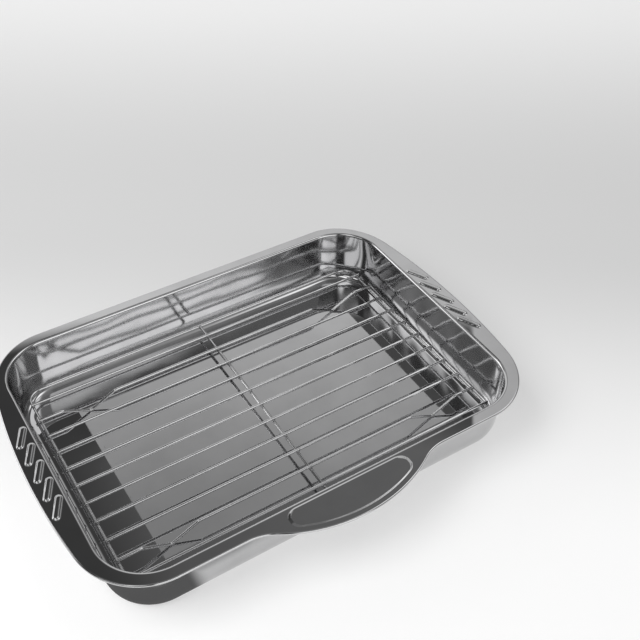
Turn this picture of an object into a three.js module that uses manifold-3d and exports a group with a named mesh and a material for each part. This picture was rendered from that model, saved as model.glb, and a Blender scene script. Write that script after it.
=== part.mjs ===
import * as THREE from 'three';
import { mergeVertices } from 'three/addons/utils/BufferGeometryUtils.js';
import Module from 'manifold-3d';

// Roasting pan with a lift-out wire rack. Millimetres, +Z up. The pan stands on z = 0 with its
// long sides along X, and its handle lobe points to -Y.

// Pan sheet and body. Half sizes are taken to the inner wall face where it meets the floor.
const SHEET = 0.7;
const PAN_HEIGHT = 47;
const WALL_HALF_LENGTH = 160;
const WALL_HALF_WIDTH = 113;
const WALL_CORNER_RADIUS = 34.5;
const WALL_DRAFT_DEGREES = 2.5;
const FLOOR_FILLET = 9.5;
const RIM_FILLET = 2;

// Flange widths, from the inner wall face at the top to the outer edge.
const SIDE_FLANGE = 10;
const END_FLANGE_MIDDLE = 18.4;
const END_FLANGE_FRONT = 14;
const END_FLANGE_BACK = 11.2;
const HEM_RADIUS = 1.1;
const HEM_RETURN = 3.4;

// Handle lobe on the front long side: an arc, blended into the straight flange edge.
const LOBE_REACH = 21.8;
const LOBE_RADIUS = 115;
const LOBE_BLEND_RADIUS = 35;

// Raised grip pad on the lobe.
const PAD_RIM_MARGIN = 1.75;
const PAD_EDGE_MARGIN = 4.7;
const PAD_END_RADIUS = 7.7;
const PAD_RISE = 0.7;

// Raised slanting ribs on each end flange.
const RIB_COUNT = 5;
const RIB_PITCH = 17.1;
const RIB_LENGTH = 19.6;
const RIB_WIDTH = 4.6;
const RIB_SLANT_DEGREES = 63;
const RIB_RISE = 1.2;
const RIB_RIM_MARGIN = 1.05;
const RIB_ROW_SHIFT = -4;

// Width of the sloped side round a raised pad or rib.
const EMBOSS_SLOPE = 0.6;

// Rack wires. Long wires lie on the frame, and the centre wire lies beside the frame under them.
const FRAME_WIRE = 2.1;
const LONG_WIRE = 2.3;
const CENTRE_WIRE = 2.4;
const WELD_GAP = 0.25;
const REST_GAP = 0.3;
const LONG_WIRE_COUNT = 11;
const FRAME_END_CLEARANCE = 10.2;
const FRAME_SIDE_CLEARANCE = 8.6;
const FRAME_CORNER_CLEARANCE = 1.05;
const EDGE_WIRE_INSET = 15.1;
const WIRE_END_OVERHANG = 1.4;

// The rack lies loose, a little off the middle of the pan.
const RACK_SHIFT_X = 1.8;
const RACK_SHIFT_Y = -0.7;

// Legs: V-shaped dips in the second long wire from each side.
const LEG_WIRE_PLACE = 2;
const LEG_INSET = 39.7;
const LEG_HALF_SPAN = 21.7;
const LEG_DROP = 10.85;
const LEG_FOOT_BEND = 3.2;
const LEG_TOP_BEND = 5;

// Steps in round stretches.
const CORNER_STEPS = 8;
const END_STEPS = 8;
const BACK_STEPS = 4;
const FRONT_STEPS = 44;
const FILLET_STEPS = 4;
const WIRE_SIDES = 10;
const BEND_STEPS = 4;
const ARC_STEPS = 8;
// A round arc in a shape is cut into two sides for each segment asked for.
const SIDES_PER_SEGMENT = 2;

// Points closer than this are one point, and a cut reaches this far past the face that it opens.
const SAME_POINT = 1e-4;
const CUT_MARGIN = 1;

const wasm = await Module();
wasm.setup();

const draft = THREE.MathUtils.degToRad(WALL_DRAFT_DEGREES);
const wallLean = Math.tan(draft) * (PAN_HEIGHT - SHEET);
const rimCentre = {
  d: (RIM_FILLET + Math.sin(draft) * (PAN_HEIGHT - RIM_FILLET - SHEET)) / Math.cos(draft),
  z: PAN_HEIGHT - RIM_FILLET,
};
const floorCentre = {
  d: -FLOOR_FILLET * (1 - Math.sin(draft)) / Math.cos(draft),
  z: SHEET + FLOOR_FILLET,
};

// Points of an arc in a profile, from one angle to another in degrees, both ends included.
function profileArc(centre, radius, from, to, steps) {
  return Array.from({ length: steps + 1 }, (_, i) => {
    const angle = THREE.MathUtils.degToRad(from + (to - from) * i / steps);
    return { d: centre.d + radius * Math.cos(angle), z: centre.z + radius * Math.sin(angle) };
  });
}

// Stations round a rounded rectangle, anticlockwise from above. Each has its place, its outward
// normal, the side it lies on, and how far it is along that side (or round that corner, 0 to 1).
function roundedRectangle(halfLength, halfWidth, radius, sideSteps, cornerSteps) {
  const cx = halfLength - radius;
  const cy = halfWidth - radius;
  const corners = [
    { x: cx, y: cy, side: 'end', steps: sideSteps.end },
    { x: -cx, y: cy, side: 'back', steps: sideSteps.back },
    { x: -cx, y: -cy, side: 'end', steps: sideSteps.end },
    { x: cx, y: -cy, side: 'front', steps: sideSteps.front },
  ];
  const stations = [];
  corners.forEach((corner, k) => {
    const before = corners[(k + 3) % 4];
    const turn = k * Math.PI / 2;
    for (let i = 1; i < corner.steps; i += 1) {
      const share = i / corner.steps;
      const nx = Math.cos(turn);
      const ny = Math.sin(turn);
      stations.push({
        x: before.x + (corner.x - before.x) * share + radius * nx,
        y: before.y + (corner.y - before.y) * share + radius * ny,
        nx, ny, side: corner.side, share,
      });
    }
    for (let i = 0; i <= cornerSteps; i += 1) {
      const share = i / cornerSteps;
      const angle = turn + share * Math.PI / 2;
      const nx = Math.cos(angle);
      const ny = Math.sin(angle);
      const side = k % 2 === 0 ? 'end to side' : 'side to end';
      stations.push({ x: corner.x + radius * nx, y: corner.y + radius * ny, nx, ny, side, share });
    }
  });
  return stations;
}

// How far the handle lobe stands out from the straight flange edge at x.
const lobeBlendX = Math.sqrt(
  (LOBE_RADIUS + LOBE_BLEND_RADIUS) ** 2 - (LOBE_BLEND_RADIUS + LOBE_RADIUS - LOBE_REACH) ** 2,
);
const lobeTangentX = lobeBlendX * LOBE_RADIUS / (LOBE_RADIUS + LOBE_BLEND_RADIUS);
function lobeReach(x) {
  const along = Math.abs(x);
  if (along >= lobeBlendX) return 0;
  if (along < lobeTangentX) return LOBE_REACH - LOBE_RADIUS + Math.sqrt(LOBE_RADIUS ** 2 - along ** 2);
  return LOBE_BLEND_RADIUS - Math.sqrt(LOBE_BLEND_RADIUS ** 2 - (lobeBlendX - along) ** 2);
}

// Flange edge at a station, as an offset from the wall face at the floor. Each end bulges along the
// parabola through its back, middle and front widths, and a cubic leads it round each corner into
// the narrow long side.
const endHalfRun = WALL_HALF_WIDTH - WALL_CORNER_RADIUS;
const endCurve = ((END_FLANGE_BACK + END_FLANGE_FRONT) / 2 - END_FLANGE_MIDDLE) / endHalfRun ** 2;
const endTilt = (END_FLANGE_BACK - END_FLANGE_FRONT) / (2 * endHalfRun);
function flangeEdge(station) {
  const { side, share, x, y } = station;
  if (side === 'front') return wallLean + SIDE_FLANGE + lobeReach(x);
  if (side === 'back') return wallLean + SIDE_FLANGE;
  if (side === 'end') return wallLean + END_FLANGE_MIDDLE + endTilt * y + endCurve * y ** 2;
  const u = side === 'end to side' ? share : 1 - share;
  const width = y > 0 ? END_FLANGE_BACK : END_FLANGE_FRONT;
  const slope = Math.sign(y) * endTilt + 2 * endCurve * endHalfRun;
  const arc = (WALL_CORNER_RADIUS + wallLean + width) * Math.PI / 2;
  return wallLean
    + width * (2 * u ** 3 - 3 * u ** 2 + 1)
    + slope * arc * (u ** 3 - 2 * u ** 2 + u)
    + SIDE_FLANGE * (3 * u ** 2 - 2 * u ** 3);
}

// The sheet's cut at a station, from the floor's inner face, up the wall, over the flange, round
// the hem and back down the outside to the floor's underside.
function sheetProfile(station) {
  const edge = flangeEdge(station);
  const hem = { d: edge - HEM_RADIUS, z: PAN_HEIGHT - HEM_RADIUS };
  const underRim = profileArc(rimCentre, RIM_FILLET - SHEET, 90, 180 - WALL_DRAFT_DEGREES, FILLET_STEPS);
  const underFloor = profileArc(
    floorCentre, FLOOR_FILLET + SHEET, -WALL_DRAFT_DEGREES, -90, FILLET_STEPS,
  );
  return [
    ...profileArc(floorCentre, FLOOR_FILLET, -90, -WALL_DRAFT_DEGREES, FILLET_STEPS),
    ...profileArc(rimCentre, RIM_FILLET, 180 - WALL_DRAFT_DEGREES, 90, FILLET_STEPS),
    ...profileArc(hem, HEM_RADIUS, 90, -90, FILLET_STEPS),
    { d: edge - HEM_RETURN, z: PAN_HEIGHT - 2 * HEM_RADIUS },
    { d: edge - HEM_RETURN, z: PAN_HEIGHT - SHEET },
    ...underRim,
    ...underFloor,
  ];
}

// A skin between rings of points. Each ring closes on itself; the row of rings closes too, or is
// capped by a fan over its first and last ring.
function skin(rings, closed) {
  const around = rings[0].length;
  const positions = rings.flat(2);
  const index = [];
  const rows = closed ? rings.length : rings.length - 1;
  for (let i = 0; i < rows; i += 1) {
    const low = i * around;
    const high = ((i + 1) % rings.length) * around;
    for (let j = 0; j < around; j += 1) {
      const next = (j + 1) % around;
      index.push(low + j, high + next, low + next, low + j, high + j, high + next);
    }
  }
  if (!closed) {
    const last = (rings.length - 1) * around;
    [[rings[0], 0, false], [rings.at(-1), last, true]].forEach(([ring, first, flip]) => {
      const middle = positions.length / 3;
      positions.push(0, 0, ring[0][2]);
      for (let j = 0; j < around; j += 1) {
        const pair = [first + j, first + (j + 1) % around];
        if (flip) pair.reverse();
        index.push(middle, ...pair);
      }
    });
  }
  const geometry = new THREE.BufferGeometry();
  geometry.setAttribute('position', new THREE.Float32BufferAttribute(positions, 3));
  geometry.setIndex(index);
  return geometry;
}

function toSolid(geometry) {
  const bare = geometry.clone();
  bare.deleteAttribute('normal');
  bare.deleteAttribute('uv');
  const merged = mergeVertices(bare, SAME_POINT);
  return new wasm.Manifold(new wasm.Mesh({
    numProp: 3,
    vertProperties: new Float32Array(merged.attributes.position.array),
    triVerts: new Uint32Array(merged.index.array),
  }));
}

function toGeometry(solid) {
  const mesh = solid.getMesh();
  const geometry = new THREE.BufferGeometry();
  geometry.setAttribute('position', new THREE.BufferAttribute(mesh.vertProperties, 3));
  geometry.setIndex(new THREE.BufferAttribute(mesh.triVerts, 1));
  geometry.computeVertexNormals();
  return geometry;
}

// A frustum over an outline: the outline at the bottom, drawn in by the slope at the top.
function frustum(outlineAt, slope, bottom, top) {
  const rings = [[0, bottom], [slope, top]].map(([inset, z]) => (
    outlineAt(inset).map((p) => [p.x, p.y, z])
  ));
  const around = rings[0].length;
  const faces = THREE.ShapeUtils.triangulateShape(outlineAt(0), []);
  const positions = rings.flat(2);
  const index = [];
  for (let j = 0; j < around; j += 1) {
    const next = (j + 1) % around;
    index.push(j, next, around + next, j, around + next, around + j);
  }
  faces.forEach(([a, b, c]) => index.push(c, b, a, around + a, around + b, around + c));
  const geometry = new THREE.BufferGeometry();
  geometry.setAttribute('position', new THREE.Float32BufferAttribute(positions, 3));
  geometry.setIndex(index);
  return toSolid(geometry);
}

// Raises the sheet over an outline: metal is added above the flange and taken away below it, so
// the sheet stays about one thickness.
function emboss(solid, outlineAt, rise) {
  const top = PAN_HEIGHT;
  const underside = PAN_HEIGHT - SHEET;
  const raised = frustum(outlineAt, EMBOSS_SLOPE, underside, top + rise);
  const hollowAt = (inset) => outlineAt(SHEET + inset);
  const hollow = frustum(hollowAt, EMBOSS_SLOPE, underside - CUT_MARGIN, underside + rise);
  return solid.add(raised).subtract(hollow);
}

// Outline of the grip pad, anticlockwise: straight along the rim, an arc concentric with the lobe,
// and two round ends tangent to both.
function padOutline(inset) {
  const edgeY = WALL_HALF_WIDTH + wallLean + SIDE_FLANGE + LOBE_REACH;
  const arcCentreY = -(edgeY - LOBE_RADIUS);
  const arcRadius = LOBE_RADIUS - PAD_EDGE_MARGIN;
  const straightY = -(WALL_HALF_WIDTH + rimCentre.d + PAD_RIM_MARGIN);
  const endY = straightY - PAD_END_RADIUS;
  const endX = Math.sqrt((arcRadius - PAD_END_RADIUS) ** 2 - (endY - arcCentreY) ** 2);
  const tilt = Math.atan2(endX, arcCentreY - endY);
  const down = -Math.PI / 2;
  const shape = new THREE.Shape();
  shape.absarc(endX, endY, PAD_END_RADIUS - inset, down + tilt, Math.PI / 2, false);
  shape.absarc(-endX, endY, PAD_END_RADIUS - inset, Math.PI / 2, Math.PI - down - tilt, false);
  shape.absarc(0, arcCentreY, arcRadius - inset, down - tilt, down + tilt, false);
  return outlinePoints(shape);
}

// Outline of one rib: a slot shape, slanting from the rim at the back to the edge at the front.
function ribOutline(centreX, centreY, mirror) {
  const slant = THREE.MathUtils.degToRad(RIB_SLANT_DEGREES) * mirror;
  const half = (RIB_LENGTH - RIB_WIDTH) / 2;
  const turn = mirror > 0 ? -slant : Math.PI - slant;
  return (inset) => {
    const shape = new THREE.Shape();
    const radius = RIB_WIDTH / 2 - inset;
    shape.absarc(half, 0, radius, -Math.PI / 2, Math.PI / 2, false);
    shape.absarc(-half, 0, radius, Math.PI / 2, 3 * Math.PI / 2, false);
    const centre = new THREE.Vector2(0, 0);
    const place = new THREE.Vector2(centreX, centreY);
    return outlinePoints(shape).map((p) => p.rotateAround(centre, turn).add(place));
  };
}

// Points of a closed shape, with the repeated first point dropped.
function outlinePoints(shape) {
  const points = shape.getPoints(ARC_STEPS / SIDES_PER_SEGMENT);
  return points.filter((p, i) => p.distanceTo(points[(i + 1) % points.length]) > SAME_POINT);
}

function panGeometry() {
  const stations = roundedRectangle(
    WALL_HALF_LENGTH, WALL_HALF_WIDTH, WALL_CORNER_RADIUS,
    { end: END_STEPS, back: BACK_STEPS, front: FRONT_STEPS }, CORNER_STEPS,
  );
  const profiles = stations.map(sheetProfile);
  const rings = profiles[0].map((_, i) => stations.map((s, j) => {
    const { d, z } = profiles[j][i];
    return [s.x + d * s.nx, s.y + d * s.ny, z];
  }));
  let solid = toSolid(skin(rings, false));
  solid = emboss(solid, padOutline, PAD_RISE);
  const slant = THREE.MathUtils.degToRad(RIB_SLANT_DEGREES);
  const ribHalfReach = (RIB_LENGTH - RIB_WIDTH) / 2 * Math.cos(slant) + RIB_WIDTH / 2;
  const ribX = WALL_HALF_LENGTH + rimCentre.d + RIB_RIM_MARGIN + ribHalfReach;
  for (let i = 0; i < RIB_COUNT; i += 1) {
    const y = RIB_ROW_SHIFT + (i - (RIB_COUNT - 1) / 2) * RIB_PITCH;
    [1, -1].forEach((mirror) => {
      solid = emboss(solid, ribOutline(mirror * ribX, y, mirror), RIB_RISE);
    });
  }
  return toGeometry(solid);
}

// Heights of the wire centre lines, built up from the feet on the pan's floor. A foot's round bend
// lies a little above the corner that its two straight legs would meet in.
const legSlope = Math.atan2(LEG_DROP, LEG_HALF_SPAN);
const footRise = LEG_FOOT_BEND * (1 / Math.cos(legSlope) - 1);
const longWireZ = SHEET + REST_GAP + LONG_WIRE / 2 + LEG_DROP - footRise;
const frameZ = longWireZ - LONG_WIRE / 2 - WELD_GAP - FRAME_WIRE / 2;
const centreWireZ = longWireZ - LONG_WIRE / 2 - WELD_GAP - CENTRE_WIRE / 2;

// Frame and wire places, from the pan's walls.
const frameHalfLength = WALL_HALF_LENGTH - FRAME_END_CLEARANCE;
const frameHalfWidth = WALL_HALF_WIDTH - FRAME_SIDE_CLEARANCE;
const wireHalfLength = frameHalfLength + WIRE_END_OVERHANG;
const edgeWireY = frameHalfWidth - EDGE_WIRE_INSET;
const wirePitch = 2 * edgeWireY / (LONG_WIRE_COUNT - 1);

// Frame corner radius that keeps the corner clearance to the wall's corner along the diagonal, with
// the rack pushed off the middle. The bend is never tighter than the wire is thick.
const cornerShare = 1 - Math.SQRT1_2;
const meanClearance = (FRAME_END_CLEARANCE + FRAME_SIDE_CLEARANCE) / 2;
const meanShift = (Math.abs(RACK_SHIFT_X) + Math.abs(RACK_SHIFT_Y)) / 2;
const cornerReach = WALL_CORNER_RADIUS - FRAME_CORNER_CLEARANCE - FRAME_WIRE / 2;
const frameCornerRadius = Math.max(
  FRAME_WIRE,
  (WALL_CORNER_RADIUS - meanClearance + meanShift - cornerReach * Math.SQRT1_2) / cornerShare,
);

// A path through given points, each at an even step of its parameter.
class BentWire extends THREE.Curve {
  constructor(points) {
    super();
    this.points = points;
  }

  getPointAt(u) {
    return this.points[Math.round(u * (this.points.length - 1))].clone();
  }

  getTangentAt(u) {
    const last = this.points.length - 1;
    const i = Math.round(u * last);
    const tangent = new THREE.Vector3();
    if (i > 0) tangent.add(this.points[i].clone().sub(this.points[i - 1]).normalize());
    if (i < last) tangent.add(this.points[i + 1].clone().sub(this.points[i]).normalize());
    return tangent.normalize();
  }
}

// Rounds the inner corners of a polyline; each corner has its own bend radius.
function bendPoints(corners) {
  return corners.flatMap(({ point, radius }, i) => {
    if (i === 0 || i === corners.length - 1) return [point];
    const back = corners[i - 1].point.clone().sub(point).normalize();
    const ahead = corners[i + 1].point.clone().sub(point).normalize();
    const half = back.angleTo(ahead) / 2;
    const inward = back.clone().add(ahead).normalize();
    const centre = point.clone().addScaledVector(inward, radius / Math.sin(half));
    const turn = Math.PI / 2 - half;
    const side = back.clone().sub(ahead).normalize();
    return Array.from({ length: BEND_STEPS + 1 }, (_, k) => {
      const angle = turn * (1 - 2 * k / BEND_STEPS);
      return centre.clone()
        .addScaledVector(inward, -radius * Math.cos(angle))
        .addScaledVector(side, radius * Math.sin(angle));
    });
  });
}

function wireAlong(points, diameter) {
  const section = new THREE.Shape();
  section.absarc(0, 0, diameter / 2, 0, 2 * Math.PI, false);
  const wire = new THREE.ExtrudeGeometry(section, {
    steps: points.length - 1,
    curveSegments: WIRE_SIDES / SIDES_PER_SEGMENT,
    bevelEnabled: false,
    extrudePath: new BentWire(points),
  });
  return toGeometry(toSolid(wire));
}

function straightWire(from, to, diameter) {
  return wireAlong([from, to], diameter);
}

function longWire(y) {
  return straightWire(
    new THREE.Vector3(-wireHalfLength, y, longWireZ),
    new THREE.Vector3(wireHalfLength, y, longWireZ),
    LONG_WIRE,
  );
}

function legWire(y) {
  const footX = wireHalfLength - LEG_INSET;
  const rightHalf = [
    { x: footX - LEG_HALF_SPAN, z: longWireZ, radius: LEG_TOP_BEND },
    { x: footX, z: longWireZ - LEG_DROP, radius: LEG_FOOT_BEND },
    { x: footX + LEG_HALF_SPAN, z: longWireZ, radius: LEG_TOP_BEND },
    { x: wireHalfLength, z: longWireZ, radius: 0 },
  ];
  const leftHalf = rightHalf.toReversed().map((corner) => ({ ...corner, x: -corner.x }));
  const corners = [...leftHalf, ...rightHalf].map(({ x, z, radius }) => (
    { point: new THREE.Vector3(x, y, z), radius }
  ));
  return wireAlong(bendPoints(corners), LONG_WIRE);
}

function frameGeometry() {
  const stations = roundedRectangle(
    frameHalfLength, frameHalfWidth, frameCornerRadius, { end: 1, back: 1, front: 1 }, CORNER_STEPS,
  );
  const radius = FRAME_WIRE / 2;
  const rings = stations.map((s) => Array.from({ length: WIRE_SIDES }, (_, k) => {
    const angle = 2 * Math.PI * k / WIRE_SIDES;
    const out = radius * Math.cos(angle);
    return [s.x + out * s.nx, s.y + out * s.ny, frameZ + radius * Math.sin(angle)];
  }));
  return toGeometry(toSolid(skin(rings, true)));
}

function centreWireGeometry() {
  const halfRun = frameHalfWidth - FRAME_WIRE / 2 - WELD_GAP;
  return straightWire(
    new THREE.Vector3(0, -halfRun, centreWireZ),
    new THREE.Vector3(0, halfRun, centreWireZ),
    CENTRE_WIRE,
  );
}

const polishedSheet = { color: 0xb9babc, roughness: 0.12, metalness: 1 };
const brightWire = { color: 0xc8c9cb, roughness: 0.2, metalness: 1 };

function piece(name, geometry, finish) {
  const mesh = new THREE.Mesh(geometry, new THREE.MeshStandardMaterial(finish));
  mesh.name = name;
  return mesh;
}

const rack = new THREE.Group();
rack.position.set(RACK_SHIFT_X, RACK_SHIFT_Y, 0);
rack.add(piece('rack_frame', frameGeometry(), brightWire));
rack.add(piece('rack_centre_wire', centreWireGeometry(), brightWire));
for (let i = 1; i <= LONG_WIRE_COUNT; i += 1) {
  const y = edgeWireY - (i - 1) * wirePitch;
  const hasLegs = i === LEG_WIRE_PLACE || i === LONG_WIRE_COUNT + 1 - LEG_WIRE_PLACE;
  const name = `rack_wire_${String(i).padStart(2, '0')}`;
  rack.add(piece(name, hasLegs ? legWire(y) : longWire(y), brightWire));
}

const roastingPan = new THREE.Group();
roastingPan.add(piece('pan', panGeometry(), polishedSheet));
roastingPan.add(rack);

export default roastingPan;
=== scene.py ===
"""Roasting pan with a lift-out wire rack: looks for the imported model, laid out as an add-on."""

import math

import bpy
import numpy as np
from bpy.props import FloatProperty, FloatVectorProperty, PointerProperty
from mathutils import Matrix, Vector


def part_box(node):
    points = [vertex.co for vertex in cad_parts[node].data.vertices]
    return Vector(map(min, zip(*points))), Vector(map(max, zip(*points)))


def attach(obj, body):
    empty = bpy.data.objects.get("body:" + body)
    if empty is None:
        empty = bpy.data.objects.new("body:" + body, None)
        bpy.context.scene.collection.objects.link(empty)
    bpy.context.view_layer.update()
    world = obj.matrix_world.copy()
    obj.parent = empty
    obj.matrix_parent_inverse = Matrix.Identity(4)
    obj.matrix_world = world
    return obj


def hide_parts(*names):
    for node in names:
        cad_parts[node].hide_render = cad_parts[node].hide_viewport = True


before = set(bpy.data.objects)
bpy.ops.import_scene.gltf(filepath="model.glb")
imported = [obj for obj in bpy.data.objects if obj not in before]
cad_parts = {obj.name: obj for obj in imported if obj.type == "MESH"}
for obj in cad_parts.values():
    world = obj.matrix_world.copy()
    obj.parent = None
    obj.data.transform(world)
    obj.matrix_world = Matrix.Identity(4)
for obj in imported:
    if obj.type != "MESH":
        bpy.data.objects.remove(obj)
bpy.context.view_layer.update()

bl_info = {
    "name": "Roasting pan with rack",
    "version": (1, 0, 0),
    "blender": (4, 5, 0),
    "location": "View3D > Sidebar > Roasting Pan",
    "description": "Polished sheet pan and wire rack over a packed frame",
    "category": "Add Mesh",
}

# Station counts round the pan: coarse, fine, coarse along an end and along the front.
END_COUNTS = (7, 150, 9)
FRONT_COUNTS = (12, 180, 12)
BACK_COUNT = 20
CORNER_COUNT = 34
# Ribs on an end, and the rib pitches that are modelled finely in front of their middle and behind it.
RIB_COUNT = 5
FINE_FRONT = 3.1
FINE_BACK = 2.77
# Points along the pan's cut: shares of the way from the middle or up the wall, and counts.
FLOOR_SHARES = (0.04, 0.3, 0.6, 0.9, 0.995)
BASE_SHARES = (0.97, 0.6, 0.05)
WALL_SHARES = (0.01, 0.2, 0.4, 0.6, 0.8, 0.99)
HEEL_COUNT = 9
FOOT_COUNT = 6
RIM_COUNT = 9
FLANGE_COUNTS = (8, 12, 20)
HEM_COUNT = 9
UNDER_FLANGE_COUNTS = (4, 8, 9)
# Most of the flange's width that its fine inner and outer bands take.
INNER_SHARE = 0.3
OUTER_SHARE = 0.55
# Waves of the drawn wall: weight, waves round the pan, turn per metre of height, and start in radians.
WALL_WAVES = ((1.0, 13, 60, 0.0), (1.0, 22, -90, 1.3), (0.7, 37, 0, 2.1))
# A lip edge is broken by this small bevel.
EDGE_BREAK = 0.00015
# Share of a pressed slope that lies outside its outline.
PRESS_START = 0.15
# Point counts of a wire and of its rounded end, which turns this far in degrees and draws in by a share.
WIRE_SIDES = 24
BEND_COUNT = 14
CAP_COUNT = 5
CAP_TURN = 80
CAP_SHRINK = 0.45
# Rings of a weld spot, points of a ring, and the last ring's latitude in degrees.
WELD_RINGS = 9
WELD_SIDES = 18
WELD_LATITUDE = 75
# Heights on the pan between which a finish comes in, in metres.
UNDERSIDE_FADE = (0.0005, 0.0002)
WALL_FOOT_FADE = (0.004, 0.012)
WALL_HEAD_FADE = (0.0465, 0.044)
# The floor radius lies between these heights, with soft ends.
FILLET_BAND = (0.0025, 0.0105, 0.0015)
# Distances from a weld between which its heat shows, in metres.
HEAT_FADE = (0.0035, 0.001)
# Grain per metre along X, Y and Z: specks of the sheet and draw lines of the wire.
FLECK_SCALES = (900, 160, 400)
DRAW_LINE_SCALES = (60, 60, 1400)
# Depth of the steel's fine relief.
RELIEF_DEPTH = 0.0001
# The studio floor reaches this far from the middle and lies this far under the pan.
FLOOR_REACH = 40.0
FLOOR_DROP = 0.0002
# Direction over the floor along which its grey band, a painted soft shadow behind the pan, comes and goes.
SHADOW_BAND_DIRECTION = (0.55, 0.84)
# Centre and radius of the pan's front left corner as the foot shade, a painted contact shadow, follows it.
FOOT_CORNER = (-0.12, -0.07, 0.045)
# Width of the camera's sensor, in millimetres.
SENSOR_WIDTH = 36


def length(name, description, default):
    """A length property in metres."""
    return FloatProperty(name=name, description=description, default=default, unit="LENGTH", precision=5)


def turn(name, description, degrees):
    """An angle property, written in degrees."""
    return FloatProperty(name=name, description=description, default=math.radians(degrees), unit="ROTATION")


def share(name, description, default):
    """A plain number between 0 and 1."""
    return FloatProperty(
        name=name, description=description, default=default, min=0, max=1, subtype="FACTOR",
    )


def tint(name, description, default):
    """A linear colour."""
    return FloatVectorProperty(name=name, description=description, default=default, subtype="COLOR", size=3)


def strength(name, description, default):
    """A light's strength, where 1 is white."""
    return FloatProperty(name=name, description=description, default=default, min=0)


def position(name, description, default):
    """A place in metres."""
    return FloatVectorProperty(
        name=name, description=description, default=default, subtype="TRANSLATION", size=3,
    )


class PanSizes(bpy.types.PropertyGroup):
    """Sizes of the pan's sheet, wall, flange, lobe, pad and ribs."""

    sheet: length("Sheet", "Thickness of the drawn sheet", 0.0007)
    height: length("Height", "Height of the flange's upper face", 0.047)
    wall_half_length: length("Half length", "Middle to the inner end wall at the floor", 0.160)
    wall_half_width: length("Half width", "Middle to the inner long wall at the floor", 0.113)
    corner_radius: length("Corner radius", "Radius of the wall's corners at the floor", 0.0345)
    draft: turn("Draft", "Outward lean of the walls", 2.5)
    heel_radius: length("Heel radius", "Tight inner radius off the floor", 0.006)
    heel_turn: turn("Heel turn", "Turn of the tight radius, up from the floor", 68)
    foot_radius: length("Foot radius", "Wide inner radius from the heel into the wall", 0.024)
    floor_seat: length("Floor seat", "How far the floor stands up to meet the rack's feet", 0.0003)
    rim_fillet: length("Rim fillet", "Upper radius between wall and flange", 0.002)
    side_flange: length("Side flange", "Flange width on the long sides", 0.010)
    end_flange_middle: length("End flange", "Flange width in the middle of an end", 0.0184)
    end_flange_front: length("End flange front", "Flange width at an end's front corner", 0.014)
    end_flange_back: length("End flange back", "Flange width at an end's back corner", 0.0112)
    flange_inner: length("Inner band", "Flange width beside the rim that is modelled finely", 0.003)
    flange_outer: length("Outer band", "Flange width beside the edge that is modelled finely", 0.006)
    hem_radius: length("Hem radius", "Radius of the rolled edge", 0.0011)
    hem_return: length("Hem return", "Depth of the folded edge", 0.0034)
    lobe_reach: length("Lobe reach", "How far the handle lobe stands out", 0.0218)
    lobe_radius: length("Lobe radius", "Radius of the lobe's edge", 0.115)
    lobe_blend: length("Lobe blend", "Radius between the lobe and the straight edge", 0.035)
    pad_rim_margin: length("Pad rim margin", "Rim fillet to the grip pad", 0.00175)
    pad_edge_margin: length("Pad edge margin", "Grip pad to the lobe's edge", 0.0047)
    pad_end_radius: length("Pad end radius", "Radius of the pad's round ends", 0.0077)
    pad_rise: length("Pad rise", "Height of the pressed pad", 0.00038)
    rib_pitch: length("Rib pitch", "Spacing of the ribs along an end", 0.0171)
    rib_length: length("Rib length", "Length of one rib", 0.0196)
    rib_width: length("Rib width", "Width of one rib", 0.0046)
    rib_slant: turn("Rib slant", "Slant of the ribs from the end's normal", 63)
    rib_rise: length("Rib rise", "Height of a pressed rib", 0.0011)
    rib_rim_margin: length("Rib rim margin", "Rim fillet to the ribs", 0.00105)
    rib_row_shift: length("Rib row shift", "Middle of the row of ribs along Y", -0.004)
    pad_slope: length("Pad slope", "Width of the sloped side round the pad", 0.00055)
    rib_slope: length("Rib slope", "Width of the sloped side round a rib", 0.001)
    wall_bow: length("Wall bow", "Outward bow of the wall between fillets", 0.0003)
    wall_wave: length("Wall wave", "Unevenness of the drawn wall", 0.00012)


class RackSizes(bpy.types.PropertyGroup):
    """Sizes of the rack's wires that its packed boxes don't give."""

    frame_wire: length("Frame wire", "Diameter of the frame wire", 0.0021)
    long_wire: length("Long wire", "Diameter of the long wires", 0.0023)
    centre_wire: length("Centre wire", "Diameter of the centre wire", 0.0024)
    frame_corner: length("Frame corner", "Corner radius of the frame wire", 0.01174)
    leg_inset: length("Leg inset", "Wire end to the foot", 0.0397)
    leg_half_span: length("Leg half span", "Foot to where its leg leaves the straight wire", 0.0217)
    leg_drop: length("Leg drop", "Straight wire to the corner that a foot's legs would meet in", 0.01085)
    foot_bend: length("Foot bend", "Bend radius at a foot", 0.0032)
    leg_bend: length("Leg bend", "Bend radius where a leg leaves the straight wire", 0.005)
    end_crown: length("End crown", "Height of the rounded wire ends", 0.0004)
    weld_spread: length("Weld spread", "Half width of a weld spot", 0.0016)
    weld_height: length("Weld height", "Half height of a weld spot", 0.0007)
    tip_weld_spread: length("Tip weld spread", "Half width of a weld at the centre wire's ends", 0.00128)
    tip_weld_height: length("Tip weld height", "Half height of a weld at the centre wire's ends", 0.00112)


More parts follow.
